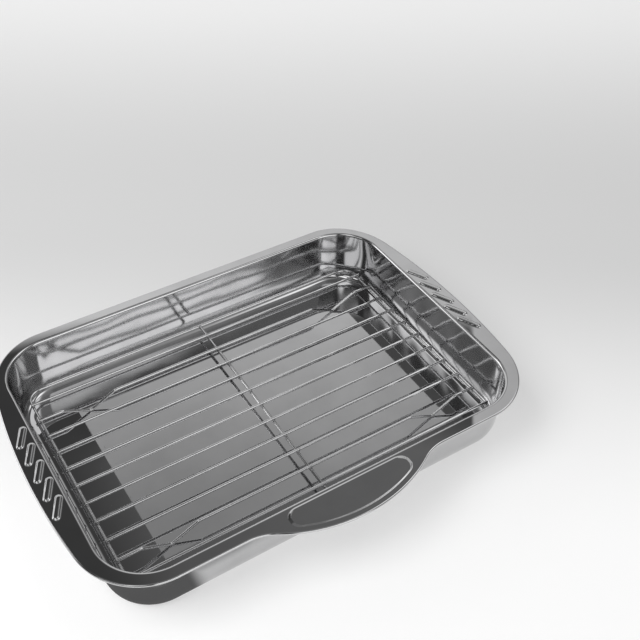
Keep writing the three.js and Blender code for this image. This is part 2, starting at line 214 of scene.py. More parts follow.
class FinishLooks(bpy.types.PropertyGroup):
    """Colours and finish of the steel."""

    sheet_tint: tint("Sheet", "Colour of the polished sheet", (0.60, 0.60, 0.605))
    wire_tint: tint("Wire", "Colour of the bright wire", (0.66, 0.66, 0.665))
    mirror_roughness: share("Mirror roughness", "Roughness of the polished sheet", 0.012)
    smudge_roughness: share("Smudge roughness", "Extra roughness of wiping smudges", 0.02)
    smudge_shade: share("Smudge shade", "Share of the sheet's colour that a smudge keeps", 0.93)
    fleck_roughness: share("Fleck roughness", "Extra roughness of specks", 0.05)
    wall_roughness: share("Wall roughness", "Extra roughness of the drawn walls", 0.09)
    fillet_roughness: share("Fillet roughness", "Extra roughness of the drawn floor radius", 0.1)
    base_roughness: share("Base roughness", "Roughness of the underside", 0.3)
    wire_roughness: share("Wire roughness", "Roughness of the wires", 0.05)
    patch_roughness: share("Patch roughness", "Extra roughness of dull patches on the wires", 0.04)
    heat_roughness: share("Heat roughness", "Extra roughness of the wires beside a weld", 0.08)
    heat_shade: share("Heat shade", "Share of the wire's colour that heated steel keeps", 0.62)
    crust_roughness: share("Crust roughness", "Least roughness of a weld spot", 0.28)


class StudioSettings(bpy.types.PropertyGroup):
    """Camera, floor and light."""

    azimuth: turn("Azimuth", "Camera direction round +Z", -33.4832)
    elevation: turn("Elevation", "Camera height angle", 42.8292)
    roll: turn("Roll", "Camera roll", 1.6168)
    distance: length("Distance", "Camera to its target", 0.813826)
    target: position("Target", "Point that the camera looks at", (0.0986577, 0.0672075, 0))
    focal: length("Focal length", "Lens for a 36 mm sensor, in metres", 0.05287)
    floor_tint: tint("Floor", "Colour of the floor", (1.0, 1.0, 1.0))
    # The floor grey is a painted soft shadow behind the pan.
    floor_shadow_grey: tint("Floor grey", "Colour of the floor's grey band", (0.66, 0.66, 0.66))
    floor_plain: share("Floor plain", "Share of the floor's plain colour that the camera sees", 0.5)
    # The foot shade is a painted contact shadow on the floor that only mirrors see.
    foot_shade: share("Foot shade", "Darkness of the floor that mirrors see by the front left", 0.86)
    lamp_place: position("Side lamp", "Place of the side lamp", (-1.2, 0.2, 1.6))
    lamp_width: length("Lamp width", "Width of the square side lamp", 1.2)
    lamp_power: FloatProperty(
        name="Lamp power", description="Power of the side lamp", default=27, unit="POWER",
    )
    panel_low: position("Panel low", "Front left corner of the light panel", (0.1855, 0.87, 1.5))
    panel_high: position("Panel high", "Back right corner of the light panel", (1.0866, 1.52, 1.5))
    panel_glow: strength("Panel", "Least strength of the light panel", 0.22)
    backdrop_top: turn("Backdrop top", "Height angle of the pale backdrop's upper edge", 42.1)
    backdrop_right: turn("Backdrop right", "Height angle of the backdrop's upper edge at the right", 49)
    backdrop_left: turn("Backdrop left", "Height angle of the backdrop's upper edge at the left", 33)
    backdrop_shine: strength("Backdrop", "Strength of the pale backdrop", 0.78)
    horizon: strength("Horizon", "Strength of the sky near the ground and to the camera", 0.9)
    dim_sky: strength("Dim sky", "Strength of the sky where there is no light", 0.06)
    front_light: strength("Front light", "Strength of the light in front", 1.3)
    front_peak: strength("Front peak", "Extra strength of the front light high at the right", 0.35)
    front_high: strength("Front high", "Strength of the band over the front light", 0.9)
    left_light: strength("Left light", "Strength of the low light at the back left", 1.65)
    left_front: strength("Left front", "Strength of the light at the front left", 1.3)
    left_over: strength("Left over", "Strength of the high light at the front left", 1.6)
    left_back: strength("Left back", "Strength of the high light at the back left", 1.5)
    right_light: strength("Right light", "Strength of the light at the right", 1.3)


def smooth_step(value):
    """Ease from 0 to 1: three t squared minus two t cubed of the clipped value."""
    t = np.clip(value, 0, 1)
    return t * t * (3 - 2 * t)


def arc(centre, radius, start, stop, count):
    """Offsets and heights of an arc, with angles in degrees: the centre plus the radius times cosine
    and sine."""
    angle = np.radians(np.linspace(start, stop, count))
    return centre[0] + radius * np.cos(angle), centre[1] + radius * np.sin(angle)


def graded(stops, counts):
    """Even steps between successive stops, which are numbers or rows of them, with a count of steps for
    each stretch."""
    stretches = [np.linspace(a, b, n, endpoint=False) for a, b, n in zip(stops, stops[1:], counts)]
    return np.concatenate(stretches + [np.asarray(stops[-1])[None]])


class PanForm:
    """Values that follow from the pan's sizes, and the functions that shape its flange."""

    def __init__(self, sizes):
        self.sizes = sizes
        s = sizes
        self.lean = math.tan(s.draft) * (s.height - s.sheet)
        rise = math.sin(s.draft) * (s.height - s.rim_fillet - s.sheet)
        self.rim = ((s.rim_fillet + rise) / math.cos(s.draft), s.height - s.rim_fillet)
        self.corner_x = s.wall_half_length - s.corner_radius
        self.corner_y = s.wall_half_width - s.corner_radius
        mean = (s.end_flange_back + s.end_flange_front) / 2
        self.end_curve = (mean - s.end_flange_middle) / self.corner_y ** 2
        self.end_tilt = (s.end_flange_back - s.end_flange_front) / (2 * self.corner_y)
        radii = s.lobe_radius + s.lobe_blend
        self.lobe_end = math.sqrt(radii ** 2 - (radii - s.lobe_reach) ** 2)
        self.lobe_tangent = self.lobe_end * s.lobe_radius / radii
        slant_run = (s.rib_length - s.rib_width) / 2 * math.cos(s.rib_slant)
        self.rib_x = s.wall_half_length + self.rim[0] + s.rib_rim_margin + slant_run + s.rib_width / 2
        self.rib_y = s.rib_row_shift + s.rib_pitch * (np.arange(RIB_COUNT) - (RIB_COUNT - 1) / 2)

    def heel_curve(self, base, thickness):
        """Offsets and heights of the turn from floor to wall, this thickness outside the inner face: a
        tight arc off the floor, then a wide arc tangent to it and to the leaning wall."""
        s = self.sizes
        tight, wide = s.heel_radius, s.foot_radius
        split = s.heel_turn - math.pi / 2
        wide_z = base + tight - (wide - tight) * math.sin(split)
        wide_d = ((wide_z - s.sheet) * math.sin(s.draft) - wide) / math.cos(s.draft)
        tight_d = wide_d + (wide - tight) * math.cos(split)
        bend = math.degrees(split)
        low = arc((tight_d, base + tight), tight + thickness, -90, bend, HEEL_COUNT)
        high = arc((wide_d, wide_z), wide + thickness, bend, -math.degrees(s.draft), FOOT_COUNT)
        return np.hstack([low, np.array(high)[:, 1:]])

    def lobe(self, x):
        """Reach of the lobe: its own arc in the middle, a hollow blend arc beside it, then nothing."""
        s = self.sizes
        along = np.minimum(np.abs(x), self.lobe_end)
        crown = s.lobe_reach - s.lobe_radius + np.sqrt(s.lobe_radius ** 2 - along ** 2)
        beside = np.minimum(self.lobe_end - along, s.lobe_blend)
        blend = s.lobe_blend - np.sqrt(s.lobe_blend ** 2 - beside ** 2)
        return np.where(along < self.lobe_tangent, crown, blend)

    def end_edge(self, y):
        """Flange width along an end: the parabola through its back, middle and front widths."""
        return self.lean + self.sizes.end_flange_middle + self.end_tilt * y + self.end_curve * y ** 2

    def corner_edge(self, u, back):
        """Flange width round a corner: a cubic from the end's width and slope to the long side's
        width."""
        s = self.sizes
        width = s.end_flange_back if back else s.end_flange_front
        slope = (self.end_tilt if back else -self.end_tilt) + 2 * self.end_curve * self.corner_y
        run = (s.corner_radius + self.lean + width) * math.pi / 2
        start = width * (2 * u ** 3 - 3 * u ** 2 + 1) + slope * run * (u ** 3 - 2 * u ** 2 + u)
        return self.lean + start + s.side_flange * (3 * u ** 2 - 2 * u ** 3)

    def pad_distance(self, x, y):
        """Signed distance to the grip pad, a circular segment rolled out by its end radius."""
        s = self.sizes
        middle_y = -(s.wall_half_width + self.lean + s.side_flange + s.lobe_reach - s.lobe_radius)
        radius = s.lobe_radius - s.pad_edge_margin - s.pad_end_radius
        chord_y = -(s.wall_half_width + self.rim[0] + s.pad_rim_margin + s.pad_end_radius)
        half = math.sqrt(radius ** 2 - (chord_y - middle_y) ** 2)
        across = np.abs(x)
        over_chord = y - chord_y
        over_arc = np.hypot(x, y - middle_y) - radius
        to_tip = np.hypot(across - half, over_chord)
        in_fan = across * (middle_y - chord_y) <= half * (middle_y - y)
        past_arc = np.where((over_arc > 0) & in_fan, over_arc, to_tip)
        outside = np.where((over_chord > 0) & (across <= half), over_chord, past_arc)
        inside = np.maximum(over_chord, over_arc)
        return np.where((over_chord <= 0) & (over_arc <= 0), inside, outside) - s.pad_end_radius

    def rib_distance(self, x, y, middle_y):
        """Signed distance to the rib with this middle along an end: distance to its spine less half its
        width."""
        s = self.sizes
        run_x = math.cos(s.rib_slant)
        run_y = -math.sin(s.rib_slant)
        dx = np.abs(x) - self.rib_x
        dy = y - middle_y
        half = (s.rib_length - s.rib_width) / 2
        along = np.clip(dx * run_x + dy * run_y, -half, half)
        return np.hypot(dx - along * run_x, dy - along * run_y) - s.rib_width / 2

    def pressed(self, x, y):
        """Height of the pressed pad and ribs above the flat flange: each eases up over its slope."""
        s = self.sizes
        rise = s.pad_rise * smooth_step(PRESS_START - self.pad_distance(x, y) / s.pad_slope)
        for middle_y in self.rib_y:
            inward = -self.rib_distance(x, y, middle_y)
            rise = rise + s.rib_rise * smooth_step(PRESS_START + inward / s.rib_slope)
        return rise


def wall_stations(form):
    """Stations round the inner wall at the floor, anticlockwise from above: place, outward normal and
    flange width, from straight stretches and quarter circles."""
    s = form.sizes
    cx, cy, radius = form.corner_x, form.corner_y, s.corner_radius
    rib_front = s.rib_row_shift - FINE_FRONT * s.rib_pitch
    rib_back = s.rib_row_shift + FINE_BACK * s.rib_pitch
    end_y = graded([-cy, rib_front, rib_back, cy], END_COUNTS)
    front_x = graded([-cx, -form.lobe_end, form.lobe_end, cx], FRONT_COUNTS)
    back_x = np.linspace(cx, -cx, BACK_COUNT)
    u = np.linspace(0, 1, CORNER_COUNT + 2)[1:-1]

    def side(x, y, nx, ny, edge):
        """A stretch of stations, one to a row."""
        return np.stack(np.broadcast_arrays(x, y, nx, ny, edge), axis=-1)

    def corner(sx, sy, start, along):
        """A quarter circle of stations from a start angle in degrees."""
        angle = math.radians(start) + u * math.pi / 2
        nx, ny = np.cos(angle), np.sin(angle)
        return side(sx * cx + radius * nx, sy * cy + radius * ny, nx, ny, form.corner_edge(along, sy > 0))

    straight = form.lean + s.side_flange
    runs = [
        side(s.wall_half_length, end_y, 1, 0, form.end_edge(end_y)),
        corner(1, 1, 0, u),
        side(back_x, s.wall_half_width, 0, 1, straight),
        corner(-1, 1, 90, 1 - u),
        side(-s.wall_half_length, end_y[::-1], -1, 0, form.end_edge(end_y[::-1])),
        corner(-1, -1, 180, u),
        side(front_x, -s.wall_half_width, 0, -1, straight + form.lobe(front_x)),
        corner(1, -1, 270, 1 - u),
    ]
    return np.concatenate(runs).T


def pan_surface(sizes):
    """The whole sheet as one grid: the cut runs from the floor's inner middle up the wall, over the
    flange and hem and back under to the underside's middle, and is carried round the stations."""
    form = PanForm(sizes)
    s = sizes
    x, y, nx, ny, edge = wall_stations(form)
    steps = np.hypot(np.diff(x, append=x[0]), np.diff(y, append=y[0]))
    around = 2 * np.pi * np.cumsum(steps) / steps.sum()
    degrees = math.degrees(s.draft)
    floor_z = s.sheet + s.floor_seat
    heel_d, heel_z = form.heel_curve(floor_z, 0.0)
    toe_d, toe_z = form.heel_curve(s.sheet, s.sheet)[:, ::-1]
    rim_d, rim_z = arc(form.rim, s.rim_fillet, 180 - degrees, 90, RIM_COUNT)
    under_d, under_z = arc(form.rim, s.rim_fillet - s.sheet, 90, 180 - degrees, RIM_COUNT)
    hem_d = edge - s.hem_radius
    lip_d = edge - s.hem_return
    lip_z = s.height - 2 * s.hem_radius
    rows = []

    def lay(offset, height, scale=1.0):
        """One row at a height: the stations moved out by an offset and scaled about the middle."""
        px = scale * (x + offset * nx)
        py = scale * (y + offset * ny)
        rows.append(np.stack(np.broadcast_arrays(px, py, height), axis=-1))

    def lay_all(offsets, heights):
        """A row for each point of a curve."""
        for offset, height in zip(offsets, heights):
            lay(offset, height)

    def lay_wall(start, stop):
        """Wall rows between two ends, bowed and waved by sines round the pan that fade out at the floor
        and the rim."""
        lowest, highest = heel_z[-1], s.height - s.rim_fillet
        for along in WALL_SHARES:
            offset, height = (1 - along) * np.array(start) + along * np.array(stop)
            middle = math.sin(math.pi * np.clip((height - lowest) / (highest - lowest), 0, 1))
            wave = sum(
                weight * np.sin(count * around + rise * height + begin)
                for weight, count, rise, begin in WALL_WAVES
            )
            lay(offset + middle * (s.wall_bow + s.wall_wave * wave), height)

    def flange_rows(stops, counts):
        """Offsets across the flange, closer together along the rim and along the edge."""
        width = stops - form.rim[0]
        inner = np.minimum(s.flange_inner, INNER_SHARE * width)
        outer = np.minimum(s.flange_outer, OUTER_SHARE * width)
        marks = (0 * width, inner, width - outer, width)
        return [form.rim[0] + offset for offset in graded(marks, counts)]

    def lay_flange(offsets, height):
        """Flange rows with the pressed pad and ribs."""
        for offset in offsets:
            lay(offset, height + form.pressed(x + offset * nx, y + offset * ny))

    for scale in FLOOR_SHARES:
        lay(heel_d[0], floor_z, scale)
    lay_all(heel_d, heel_z)
    lay_wall((heel_d[-1], heel_z[-1]), (rim_d[0], rim_z[0]))
    lay_all(rim_d, rim_z)
    lay_flange(flange_rows(hem_d, FLANGE_COUNTS)[1:], s.height)
    for angle in np.radians(np.linspace(90, -90, HEM_COUNT)[1:]):
        hem_z = s.height - s.hem_radius + s.hem_radius * math.sin(angle)
        lay(hem_d + s.hem_radius * math.cos(angle), hem_z)
    lay(lip_d + EDGE_BREAK, lip_z)
    lay(lip_d, lip_z + EDGE_BREAK)
    lay(lip_d, s.height - s.sheet - EDGE_BREAK)
    lay_flange(flange_rows(lip_d - EDGE_BREAK, UNDER_FLANGE_COUNTS)[::-1], s.height - s.sheet)
    lay_all(under_d[1:], under_z[1:])
    lay_wall((under_d[-1], under_z[-1]), (toe_d[0], toe_z[0]))
    lay_all(toe_d, toe_z)
    for scale in BASE_SHARES:
        lay(toe_d[-1], 0.0, scale)
    poles = np.array([[0, 0, floor_z], [0, 0, 0.0]])
    return skin(np.stack(rows), poles)


def skin(grid, poles=None):
    """Points and faces of a grid whose columns close on themselves. Poles, if given, close the first
    and the last row with fans, and without them the rows close on themselves too."""
    rows, columns = grid.shape[:2]
    points = grid.reshape(-1, 3)
    index = np.arange(rows * columns).reshape(rows, columns)
    beside = np.roll(index, -1, axis=1)
    if poles is None:
        above, beside_above = np.roll(index, -1, axis=0), np.roll(beside, -1, axis=0)
        quads = np.stack([index, beside, beside_above, above], axis=-1)
        return points, [quads.reshape(-1, 4)]
    quads = np.stack([index[:-1], beside[:-1], beside[1:], index[1:]], axis=-1).reshape(-1, 4)
    first = len(points)
    start = np.stack([beside[0], index[0], np.full(columns, first)], axis=-1)
    stop = np.stack([index[-1], beside[-1], np.full(columns, first + 1)], axis=-1)
    return np.concatenate([points, poles]), [quads, start, stop]


def bent_path(corners):
    """A polyline with rounded corners: each inner corner (point, radius) becomes an arc tangent to both
    its straight runs."""
    points = [np.array(p, float) for p, _ in corners]
    path = [points[0][None]]
    for before, here, after, (_, radius) in zip(points, points[1:], points[2:], corners[1:-1]):
        back = (before - here) / np.linalg.norm(before - here)
        ahead = (after - here) / np.linalg.norm(after - here)
        half = math.acos(np.clip(back @ ahead, -1, 1)) / 2
        inward = (back + ahead) / np.linalg.norm(back + ahead)
        sideways = (back - ahead) / np.linalg.norm(back - ahead)
        centre = here + inward * radius / math.sin(half)
        angle = np.linspace(1, -1, BEND_COUNT)[:, None] * (math.pi / 2 - half)
        path.append(centre - radius * np.cos(angle) * inward + radius * np.sin(angle) * sideways)
    path.append(points[-1][None])
    return np.concatenate(path)


def wire_surface(path, across, radius, crown=None):
    """A round wire: a circle carried along a flat path, spanned by the path's fixed cross direction and
    the product of its tangent with it. A crown rounds the cut ends; without one the path closes on
    itself."""
    if crown is None:
        tangent = np.roll(path, -1, axis=0) - np.roll(path, 1, axis=0)
    else:
        tangent = np.gradient(path, axis=0)
        tangent[0] = path[1] - path[0]
        tangent[-1] = path[-1] - path[-2]
    tangent = tangent / np.linalg.norm(tangent, axis=1, keepdims=True)
    radii = np.full(len(path), radius)
    poles = None
    if crown is not None:
        angle = np.radians(np.linspace(0, CAP_TURN, CAP_COUNT))
        out = crown * np.sin(angle)
        start = path[0] + (crown - out[::-1, None]) * tangent[0]
        stop = path[-1] - (crown - out[:, None]) * tangent[-1]
        path = np.concatenate([start, path[1:-1], stop])
        first = np.repeat(tangent[:1], CAP_COUNT, axis=0)
        last = np.repeat(tangent[-1:], CAP_COUNT, axis=0)
        tangent = np.concatenate([first, tangent[1:-1], last])
        shrink = 1 - CAP_SHRINK * (1 - np.cos(angle))
        radii = np.concatenate([radius * shrink[::-1], radii[1:-1], radius * shrink])
        poles = np.stack([path[0], path[-1]])
    across = np.asarray(across, float)
    upward = np.cross(tangent, across)
    turned = np.linspace(0, 2 * np.pi, WIRE_SIDES, endpoint=False)
    ring = np.cos(turned)[None, :, None] * across + np.sin(turned)[None, :, None] * upward[:, None, :]
    return skin(path[:, None, :] + radii[:, None, None] * ring, poles)


def weld_surface(centre, spread, height):
    """One weld spot: a flattened ball, its rings at even latitudes round the vertical."""
    latitude = np.radians(np.linspace(-WELD_LATITUDE, WELD_LATITUDE, WELD_RINGS))[:, None]
    longitude = np.linspace(0, 2 * np.pi, WELD_SIDES, endpoint=False)[None, :]
    ring = np.stack(np.broadcast_arrays(
        spread * np.cos(latitude) * np.cos(longitude),
        spread * np.cos(latitude) * np.sin(longitude),
        height * np.sin(latitude),
    ), axis=-1)
    poles = np.array([[0, 0, -height], [0, 0, height]])
    points, faces = skin(ring, poles)
    return points + np.asarray(centre), faces


def joined(surfaces):
    """Several surfaces as one list of points and faces."""
    points, faces, first = [], [], 0
    for some_points, some_faces in surfaces:
        points.append(some_points)
        faces += [face + first for face in some_faces]
        first += len(some_points)
    return np.concatenate(points), faces


def faces_out(points, faces):
    """Turns all faces round if the enclosed volume comes out negative."""
    fans = [face[:, [0, k, k + 1]] for face in faces for k in range(1, face.shape[1] - 1)]
    a, b, c = (points[np.concatenate(fans)[:, k]] for k in range(3))
    volume = np.einsum("ij,ij->i", a, np.cross(b, c)).sum()
    return faces if volume > 0 else [face[:, ::-1] for face in faces]


def put_piece(name, surface, material, body, slot, *nodes):
    """Makes a smooth mesh object of a surface, gives it a material, sets it on its body and hides the CAD
    nodes that it stands for."""
    points, faces = surface
    faces = faces_out(points, faces)
    mesh = bpy.data.meshes.new(name)
    mesh.vertices.add(len(points))
    mesh.vertices.foreach_set("co", points.astype(np.float32).ravel())
    sizes = np.concatenate([np.full(len(face), face.shape[1]) for face in faces])
    corners = np.concatenate([face.ravel() for face in faces])
    mesh.loops.add(len(corners))
    mesh.loops.foreach_set("vertex_index", corners.astype(np.int32))
    mesh.polygons.add(len(sizes))
    starts = np.concatenate([[0], np.cumsum(sizes)[:-1]])
    mesh.polygons.foreach_set("loop_start", starts.astype(np.int32))
    mesh.polygons.foreach_set("use_smooth", np.ones(len(sizes), bool))
    mesh.update(calc_edges=True)
    if mesh.validate():
        raise RuntimeError(f"{name}: the surface has broken faces")
    mesh.materials.append(material)
    piece = bpy.data.objects.new(name, mesh)
    bpy.context.scene.collection.objects.link(piece)
    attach(piece, body)
    if nodes:
        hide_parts(*nodes)
    return piece


class Value:
    """A shader number that takes part in Python sums; each operation adds a Math node."""

    def __init__(self, net, socket):
        self.net = net
        self.socket = socket

    def __add__(self, other):
        return self.net.math("ADD", self, other)

    def __sub__(self, other):
        return self.net.math("SUBTRACT", self, other)

    def __rsub__(self, other):
        return self.net.math("SUBTRACT", other, self)

    def __mul__(self, other):
        return self.net.math("MULTIPLY", self, other)

    def __truediv__(self, other):
        return self.net.math("DIVIDE", self, other)

    def __pow__(self, other):
        return self.net.math("POWER", self, other)

    def __abs__(self):
        return self.net.math("ABSOLUTE", self)

    __radd__ = __add__
    __rmul__ = __mul__


class Net:
    """A node tree that is filled by expressions."""

    def __init__(self, tree):
        self.tree = tree
        tree.nodes.clear()

    def add(self, kind, settings=None, sockets=None, out=0):
        """Adds one node: its settings first, then the values or links of its sockets; gives an
        output."""
        node = self.tree.nodes.new(kind)
        for name, value in (settings or {}).items():
            setattr(node, name, value)
        for name, value in (sockets or {}).items():
            if isinstance(value, Value):
                self.tree.links.new(value.socket, node.inputs[name])
            else:
                node.inputs[name].default_value = value
        return Value(self, node.outputs[out]) if node.outputs else node

    def math(self, operation, first, second=0.0):
        """One sum of numbers."""
        return self.add("ShaderNodeMath", {"operation": operation}, {0: first, 1: second})

    def ramp(self, value, start, stop):
        """Eases from 0 at start to 1 at stop."""
        sockets = {"Value": value, "From Min": start, "From Max": stop}
        return self.add("ShaderNodeMapRange", {"interpolation_type": "SMOOTHSTEP"}, sockets)

    def blend(self, factor, first, second):
        """Colour between two colours."""
        sockets = {"Factor": factor, "A": first, "B": second}
        return self.add("ShaderNodeMix", {"data_type": "RGBA"}, sockets, out="Result")

    def stretched(self, vector, scales):
        """A vector with each axis scaled."""
        return self.add("ShaderNodeVectorMath", {"operation": "MULTIPLY"}, {0: vector, 1: scales})

    def noise(self, vector, scale, detail=2.0, roughness=0.5):
        """Soft cloudy noise over a vector."""
        sockets = {"Vector": vector, "Scale": scale, "Detail": detail, "Roughness": roughness}
        return self.add("ShaderNodeTexNoise", {}, sockets)

    def window(self, value, low, high, soft):
        """1 between low and high, easing to 0 over the soft width at both."""
        return self.ramp(value, low - soft, low + soft) * self.ramp(value, high + soft, high - soft)

    def grey(self, level):
        """A grey colour of this level."""
        return self.add("ShaderNodeCombineColor", {}, {"Red": level, "Green": level, "Blue": level})

    def seen(self):
        """1 for camera rays and for mirror rays, so that metal shows the same background."""
        kinds = ("Is Camera Ray", "Is Glossy Ray")
        rays = [self.add("ShaderNodeLightPath", {}, {}, out=kind) for kind in kinds]
        return self.math("MAXIMUM", *rays)

    def axes(self, vector):
        """The three parts of a vector."""
        node = self.tree.nodes.new("ShaderNodeSeparateXYZ")
        self.tree.links.new(vector.socket, node.inputs[0])
        return [Value(self, node.outputs[k]) for k in range(3)]


def shaded(colour, amount=1.0):
    """A colour times an amount, with full alpha."""
    return (*(amount * part for part in colour), 1)


def new_material(name):
    """A material with an empty node tree."""
    material = bpy.data.materials.new(name)
    material.use_nodes = True
    return material, Net(material.node_tree)


def finish_steel(net, tints, roughness, height, bump):
    """Ends a steel material: a metal shader with a varied colour and roughness and a fine relief."""
    relief = net.add("ShaderNodeBump", {}, {"Height": height, "Strength": bump, "Distance": RELIEF_DEPTH})
    shader = net.add("ShaderNodeBsdfPrincipled", {}, {
        "Base Color": tints, "Roughness": roughness, "Normal": relief, "Metallic": 1.0,
    })
    net.add("ShaderNodeOutputMaterial", {}, {"Surface": shader})


def polished_sheet(looks):
    """Drawn stainless sheet: mirror polish with softer walls and floor radius, wiping smudges, specks
    and a duller underside."""
    material, net = new_material("polished_sheet")
    place = net.add("ShaderNodeTexCoord", {}, {}, out="Object")
    z = net.axes(place)[2]
    under = net.ramp(z, *UNDERSIDE_FADE)
    wall = net.ramp(z, *WALL_FOOT_FADE) * net.ramp(z, *WALL_HEAD_FADE)
    fillet = net.window(z, *FILLET_BAND)
    smudge = net.noise(place, scale=28.0, detail=4.0, roughness=0.6)
    specks = net.noise(net.stretched(place, FLECK_SCALES), scale=1.0, detail=1.0)
    fleck = net.ramp(specks, 0.74, 0.8)
    mirror = looks.mirror_roughness + looks.smudge_roughness * net.ramp(smudge, 0.5, 0.75)
    mirror = mirror + looks.fleck_roughness * fleck
    mirror = mirror + looks.wall_roughness * wall + looks.fillet_roughness * fillet
    roughness = mirror * (1 - under) + looks.base_roughness * under
    height = 0.2 * fleck * (1 - wall)
    smudged = shaded(looks.sheet_tint, looks.smudge_shade)
    tints = net.blend(net.ramp(smudge, 0.35, 0.7), shaded(looks.sheet_tint), smudged)
    finish_steel(net, tints, roughness, height, bump=0.04)
    return material


def bright_wire(looks, rack):
    """Bright drawn wire: long draw lines, and duller, darker steel where the welds heated it, which is
    where a long wire's row meets the frame's ends and the centre wire."""
    material, net = new_material("bright_wire")
    place = net.add("ShaderNodeTexCoord", {}, {}, out="Object")
    x, y, _ = net.axes(place)
    from_middle = abs(x - rack.middle[0])
    from_end = abs(from_middle - rack.half_length)
    from_row = net.math("PINGPONG", y - rack.first_row, rack.pitch / 2)
    near_weld = net.ramp(net.math("MINIMUM", from_end, from_middle), *HEAT_FADE)
    near_weld = near_weld * net.ramp(from_row, *HEAT_FADE)
    grain = net.noise(net.stretched(place, DRAW_LINE_SCALES), scale=1.0)
    patch = net.noise(place, scale=70.0, detail=3.0)
    roughness = looks.wire_roughness + looks.patch_roughness * net.ramp(patch, 0.45, 0.75)
    roughness = roughness + looks.heat_roughness * near_weld
    heated = shaded(looks.wire_tint, looks.heat_shade)
    heat = 0.35 * near_weld + 0.12 * net.ramp(patch, 0.4, 0.7)
    tints = net.blend(heat, shaded(looks.wire_tint), heated)
    finish_steel(net, tints, roughness, grain, bump=0.02)
    return material


def weld_steel(looks):
    """Weld spots: rougher grey steel with a fine crust."""
    material, net = new_material("weld_steel")
    place = net.add("ShaderNodeTexCoord", {}, {}, out="Object")
    crust = net.noise(place, scale=1800.0, detail=4.0, roughness=0.65)
    dark = shaded(looks.wire_tint, 0.5)
    light = shaded(looks.wire_tint, 0.8)
    roughness = looks.crust_roughness + 0.2 * crust
    finish_steel(net, net.blend(crust, dark, light), roughness, crust, bump=0.35)
    return material


class RackPlaces:
    """Places of the rack's wires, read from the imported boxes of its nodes."""

    def __init__(self, sizes):
        low, high = (np.array(corner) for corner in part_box("rack_frame"))
        self.middle = (low + high) / 2
        self.half_length = (high[0] - low[0] - sizes.frame_wire) / 2
        self.half_width = (high[1] - low[1] - sizes.frame_wire) / 2
        self.long_nodes = sorted(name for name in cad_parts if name.startswith("rack_wire_"))
        tops = [np.array(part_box(name)[1]) for name in self.long_nodes]
        self.long_z = tops[0][2] - sizes.long_wire / 2
        self.frame_z = self.middle[2]
        self.wire_half = tops[0][0] - self.middle[0]
        self.first_row = self.row(self.long_nodes[0])
        self.pitch = self.first_row - self.row(self.long_nodes[1])
        self.leg_nodes = [name for name in self.long_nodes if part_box(name)[0][2] < self.frame_z / 2]

    def row(self, node):
        """Place along Y of a long wire."""
        low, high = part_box(node)
        return (low[1] + high[1]) / 2


def long_wire_surface(sizes, places, node):
    """A long wire: straight, or dipping in a V at each leg."""
    y = places.row(node)
    z = places.long_z
    half = places.wire_half
    ends = [((-half, y, z), 0), ((half, y, z), 0)]
    if node in places.leg_nodes:
        foot = half - sizes.leg_inset
        legs = [
            (foot - sizes.leg_half_span, z, sizes.leg_bend),
            (foot, z - sizes.leg_drop, sizes.foot_bend),
            (foot + sizes.leg_half_span, z, sizes.leg_bend),
        ]
        right = [((x, y, h), radius) for x, h, radius in legs]
        left = [((-x, y, h), radius) for x, h, radius in reversed(legs)]
        ends = [ends[0], *left, *right, ends[1]]
    path = bent_path(ends) + np.array([places.middle[0], 0, 0])
    return wire_surface(path, (0, 1, 0), sizes.long_wire / 2, sizes.end_crown)


def frame_surface(sizes, places):
    """The frame: a round wire along a rounded rectangle."""
    radius = sizes.frame_corner
    cx, cy = places.half_length - radius, places.half_width - radius
    quarter = np.linspace(0, math.pi / 2, BEND_COUNT)
    corners = [(cx, cy, 0), (-cx, cy, 1), (-cx, -cy, 2), (cx, -cy, 3)]
    arcs = []
    for x, y, k in corners:
        angle = quarter + k * math.pi / 2
        arcs.append(np.stack([x + radius * np.cos(angle), y + radius * np.sin(angle)], axis=-1))
    flat = np.concatenate(arcs)
    path = np.column_stack([flat, np.zeros(len(flat))]) + places.middle
    return wire_surface(path, (0, 0, 1), sizes.frame_wire / 2)


def centre_wire_surface(sizes, places):
    """The centre wire: straight across, between the frame's long sides."""
    low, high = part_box("rack_centre_wire")
    z = (low[2] + high[2]) / 2
    path = np.array([[places.middle[0], y, z] for y in (low[1], high[1])])
    return wire_surface(path, (1, 0, 0), sizes.centre_wire / 2, sizes.end_crown)


def weld_surfaces(sizes, places):
    """Weld spots where each long wire crosses the frame's ends and the centre wire, and where the
    centre wire meets the frame's long sides."""
    height = places.long_z - sizes.long_wire / 2
    rows = [places.row(node) for node in places.long_nodes]
    stops = (-places.half_length, 0, places.half_length)
    centres = [(places.middle[0] + stop, y, height) for y in rows for stop in stops]
    reach = places.half_width - sizes.frame_wire / 2
    tips = [(places.middle[0], places.middle[1] + sign * reach, places.frame_z) for sign in (-1, 1)]
    spots = [weld_surface(centre, sizes.weld_spread, sizes.weld_height) for centre in centres]
    spots += [weld_surface(tip, sizes.tip_weld_spread, sizes.tip_weld_height) for tip in tips]
    return joined(spots)


class ROASTING_PAN_OT_sheet(bpy.types.Operator):
    """Makes the drawn pan with its flange, lobe, pad, ribs and hem"""

    bl_idname = "roasting_pan.sheet"
    bl_label = "Pan sheet"

    def execute(self, context):
        scene = context.scene
        material = polished_sheet(scene.pan_finish)
        put_piece("pan_sheet", pan_surface(scene.pan_sizes), material, "pan", "polished_sheet", "pan")
        return {"FINISHED"}


